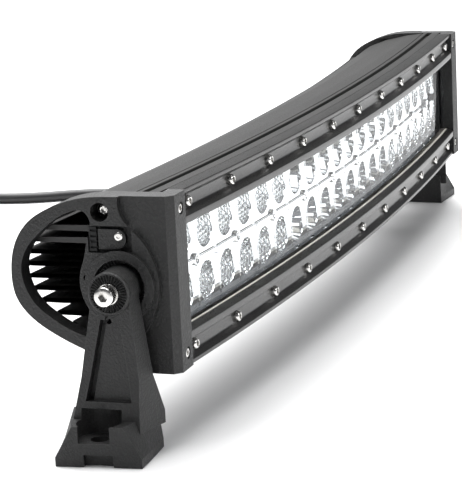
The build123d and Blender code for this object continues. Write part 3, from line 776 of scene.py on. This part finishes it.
def reflector_module(solid, m, flood):
    """Four cups with the ribs, rails and screw boss between them, in a tray with a back plate."""
    place = arc_frame(module_s(m), FACE_D, 0)
    for dx in (-1, 1):
        for dz in (-1, 1):
            face_plate(solid, place, dx, dz)
            spot = place @ Matrix.Translation((dx * PITCH / 2, 0.3, dz * PITCH / 2))
            if flood:
                flood_cup(solid, spot, CUP_D, FLOOD_BACK_R)
            else:
                spot_cup(solid, spot, CUP_D, SPOT_BACK_R)
    for dz in (-1, 1):
        for x in (-PITCH + EDGE_GAP, 0.0, PITCH - EDGE_GAP):
            half = 0.55 if x == 0 else 0.3
            low, high = (2.3, TRAY_H - 0.1) if dz > 0 else (-TRAY_H + 0.1, -2.3)
            solid.box((x - half, -RIB_PROUD, low), (x + half, 0.2, high), place, chamfer=0.22)
        low, high = sorted((dz * TRAY_H, dz * TRAY_OUT_H))
        solid.box((-PITCH + EDGE_GAP, -TRAY_LIP, low), (PITCH - EDGE_GAP, 0.2, high), place, chamfer=0.25)
    for x0, x1 in ((-PITCH + 1.2, -3.2), (3.2, PITCH - 1.2)):
        solid.box((x0, -RAIL_PROUD, -1.2), (x1, 0.2, 1.2), place, chamfer=0.45)
    solid.revolve([(1.7, 1.0), (1.7, -0.9), (2.1, -1.4), (2.6, -1.4), (2.95, -0.9), (2.95, 0.2)], place, 32)
    back = place @ Matrix.Translation((0, 14.9, 0))
    solid.box((-PITCH + 0.4, -0.5, -24.6), (PITCH - 0.4, 0.0, 24.6), back, chamfer=0.1)


def reflectors(name, node, modules, flood):
    work = Solid()
    for m in modules:
        reflector_module(work, m, flood)
    work.piece(name, CHROME, BAR, (node,), 33)


reflectors("reflectors_flood_left", "reflector_flood_left", range(0, 3), True)
reflectors("reflectors_spot", "reflector_spot", range(3, 7), False)
reflectors("reflectors_flood_right", "reflector_flood_right", range(7, 10), True)


def module_screws():
    heads = Solid()
    for m in range(MODULES):
        screw_head(heads, arc_frame(module_s(m), FACE_D - 0.5, 0), 1.6, 1.3, 0.8, 14.0, 30)
    heads.piece("module_screws", STEEL, BAR, ("reflector_screws",), 28)


module_screws()


def led_chips():
    """Square phosphor chips, each under a clear dome."""
    chips = Solid()
    dome = [(1.4, -0.78), (1.37, -1.1), (1.2, -1.55), (0.85, -1.95), (0.45, -2.15), (0, -2.2)]
    for col in range(COLUMNS):
        for dz in (-0.5, 0.5):
            place = arc_frame((col - (COLUMNS - 1) / 2) * PITCH, BACK_D - 1.85, dz * PITCH)
            chips.box((-1.7, -0.8, -1.7), (1.7, 0.0, 1.7), place, 0, 0.12)
            chips.revolve(dome, place, 24, 1)
    chips.piece("led_chips", [PHOSPHOR, DOME], BAR, ("leds",), 40)


led_chips()


def lens_gasket():
    """Soft frame behind the lens: two strips along the arc and a short one at each end."""
    ring = Solid()
    for side in (-1, 1):
        strip = [(7.0, side * 26.6), (9.6, side * 26.6), (9.6, side * 28.8), (7.0, side * 28.8)]
        verts, faces, _ = swept(rounded(strip, 0.4, 2), LIP_X - 1, 60)
        ring.put(verts, faces)
    for end in (-1, 1):
        place = arc_frame(end * (LIP_X - 3), 0, 0)
        ring.box((-1.4, 7.0, -26.6), (1.4, 9.4, 26.6), place, 0, 0.4)
    ring.piece("lens_gasket_ring", SEAL, BAR, ("lens_gasket",), 40)


lens_gasket()


# ---- carried-over CAD nodes: materials and softened edges ----
def dress(name, material, edge=0.0, angle=28):
    """A CAD node keeps its mesh; it gets its material, and its edges are rounded by modifiers."""
    obj = nodes[name]
    obj.data.materials.clear()
    obj.data.materials.append(material)
    if edge:
        obj.modifiers.new("weld", "WELD").merge_threshold = 0.00001
        flat = obj.modifiers.new("flat", "DECIMATE")
        flat.decimate_type = "DISSOLVE"
        flat.angle_limit = radians(0.6)
        soft = obj.modifiers.new("edge", "BEVEL")
        soft.width = edge * MM
        soft.segments = 3
        soft.limit_method = "ANGLE"
        soft.angle_limit = radians(angle)
        soft.harden_normals = False
        obj.modifiers.new("normals", "WEIGHTED_NORMAL").keep_sharp = True


for side in ("left", "right"):
    dress("end_cap_" + side, CAST, 1.0)
    dress("bracket_" + side, CAST, 0.9)
    dress("entry_cover_" + side, CAST, 0.25)
    dress("entry_grommet_" + side, RUBBER, 0.15)
    dress("end_cap_seal_" + side, SEAL)
    dress("spring_washer_" + side, STEEL, 0.12)
    dress("pivot_nut_" + side, STEEL, 0.2)
dress("led_board", BOARD)
dress("lead_cores", CORE)
dress("cable_inlet", SHEATH)
dress("gland_body", NYLON, 0.4)
dress("plug", NYLON, 0.4)
dress("plug_seal", RUBBER, 0.3)
dress("cable_tie", NYLON, 0.15)


# ---- cap screws, pivots ----
def cap_front_screws():
    heads = Solid()
    for x in (-CAP_SCREW_X, CAP_SCREW_X):
        for side in (-1, 1):
            place = Matrix.Translation((x, FRONT_Y + CAP_FRONT_D + 0.2, MID_Z + side * SCREW_H))
            screw_head(heads, place @ Matrix.Rotation(0.4 + side, 4, "Y"), 2.7, 2.0, 1.3, 6.0)
    heads.piece("cap_front_screws", STEEL, BAR, ("end_cap_front_screws",), 28)


cap_front_screws()


def towards_x(side, x, depth, height):
    """A frame at an end of the bar whose local +y points inwards along X."""
    turn = Matrix.Rotation(side * pi / 2, 4, "Z")
    return Matrix.Translation((side * x, FRONT_Y + depth, MID_Z + height)) @ turn


def cap_side_screws():
    """The screws in the caps' deep side pockets, and the small ones in the entry covers."""
    deep = Solid()
    small = Solid()
    for side in (-1, 1):
        screw_head(deep, towards_x(side, CAP_X - 5.2, 42.2, 32.6), 2.9, 2.4, 1.3, 9.0)
        screw_head(small, towards_x(side, CAP_X - 0.1, 34.0, 22.0), 1.9, 0.6, 0.8, 2.2, 30)
    deep.piece("cap_side_screws", STEEL, BAR, ("end_cap_side_screws",), 28)
    small.piece("cover_screws", STEEL, BAR, ("entry_cover_screws",), 28)


cap_side_screws()


def radial_teeth(solid, place, inner, outer, rise, count=45):
    """Ring of V-shaped teeth on a face, pointing out along local -y."""
    verts, faces = [], []
    for k in range(count):
        for part, y in ((0.0, 0.0), (0.5, -rise)):
            a = 2 * pi * (k + part) / count
            verts += [(inner * cos(a), y, inner * sin(a)), (outer * cos(a), y, outer * sin(a))]
    n = 2 * count
    for k in range(n):
        i = (k + 1) % n
        faces.append((2 * k, 2 * i, 2 * i + 1, 2 * k + 1))
    base = len(verts)
    for k in range(n):
        a = 2 * pi * k / n
        verts += [(inner * cos(a), 0.25, inner * sin(a)), (outer * cos(a), 0.25, outer * sin(a))]
    for k in range(n):
        i = (k + 1) % n
        faces.append((2 * k + 1, 2 * i + 1, base + 2 * i + 1, base + 2 * k + 1))
        faces.append((2 * i, 2 * k, base + 2 * k, base + 2 * i))
        faces.append((base + 2 * k, base + 2 * i, base + 2 * i + 1, base + 2 * k + 1))
    solid.put(verts, faces, place)


def disc_teeth(side, name, body):
    """The bracket's serrated disc with its rim, and the matching ring inside the cap's cup."""
    disc = Solid()
    place = towards_x(side, DISC_X, PIVOT_D, 0)
    radial_teeth(disc, place, TOOTH_R, 8.3, 0.8, 36)
    rim = [(8.3, 0.1), (8.3, -0.7), (8.6, -0.9), (9.1, -0.9), (9.5, -0.5), (9.5, 0.6), (9.4, 0.9)]
    disc.revolve(rim, place, 72)
    disc.piece("teeth_disc_" + name, CAST, body, smooth=25)
    cup = Solid()
    radial_teeth(cup, towards_x(side, 275.5, PIVOT_D, 0), 9.6, 11.9, 0.5)
    cup.piece("teeth_cup_" + name, CAST, BAR, smooth=25)


def tilt_bolt(side, name):
    """Socket cap screw with a knurled head: hexagon socket, head, then the plain shank."""
    bolt = Solid()
    count = 96
    angles = [2 * pi * k / count for k in range(count)]
    rings = []
    for y in (2.8, 0.0):
        across = [2.3 * cos(pi / 6) / cos((a % (pi / 3)) - pi / 6) for a in angles]
        rings.append([(r * cos(a), y, r * sin(a)) for r, a in zip(across, angles)])
    for r0, y, knurl in ((3.7, 0.0, 0.0), (4.15, 0.25, 0.0), (BOLT_R, 0.6, 0.0), (BOLT_R, 0.9, 0.13),
                         (BOLT_R, 5.1, 0.13), (BOLT_R, 5.5, 0.0)):
        radii = [r0 - knurl * (k % 2) for k in range(count)]
        rings.append([(r * cos(a), y, r * sin(a)) for r, a in zip(radii, angles)])
    faces = []
    for ring in range(len(rings) - 1):
        near, far = ring * count, (ring + 1) * count
        for k in range(count):
            i = (k + 1) % count
            faces.append((near + k, near + i, far + i, far + k))
    faces.append(tuple(range(count)))
    top = towards_x(side, DISC_X + BOLT_OUT, PIVOT_D, 0)
    bolt.put([v for ring in rings for v in ring], faces, top)
    bolt.revolve([(BOLT_R, 5.5), (2.5, 5.5), (2.5, 27.5), (2.1, 28.3), (0, 28.3)], top, 40)
    bolt.piece("tilt_bolt_" + name, STEEL, BAR, ("pivot_bolt_" + name,), 30)


disc_teeth(-1, "left", FLOOR_SIDE)
tilt_bolt(-1, "left")
disc_teeth(1, "right", FAR_SIDE)
tilt_bolt(1, "right")


# ---- gland and strain relief ----
def gland():
    """Ribbed dome nut, and the ribbed sleeve that tapers towards the lead."""
    place = gland_place()
    nut = Solid()
    dome = [(3.8, 6.9), (7.3, 6.9), (7.9, 7.4), (8.1, 8.4),
            (8.1, 9.4), (7.6, 10.9), (6.6, 11.9), (3.8, 12.0)]
    nut.revolve(dome, place, 48)
    for k in range(12):
        nut.box((-0.7, 7.3, 7.6), (0.7, 10.3, 8.5), place @ Matrix.Rotation(k * pi / 6, 4, "Y"), 0, 0.25)
    nut.piece("gland_dome_nut", NYLON, BAR, ("gland_nut",), 40)
    sleeve = Solid()
    profile = [(3.55, 12.0), (5.8, 12.0)]
    for k in range(8):
        y = 12.6 + 2.5 * k
        r = 5.75 - 0.2 * k
        profile += [(r, y), (r, y + 1.45), (r - 0.7, y + 1.7), (r - 0.7, y + 2.25)]
    profile += [(4.0, 33.4), (3.9, 34.0), (3.55, 34.0)]
    sleeve.revolve(profile, place, 40)
    sleeve.piece("lead_sleeve", RUBBER, BAR, ("strain_relief",), 35)


gland()
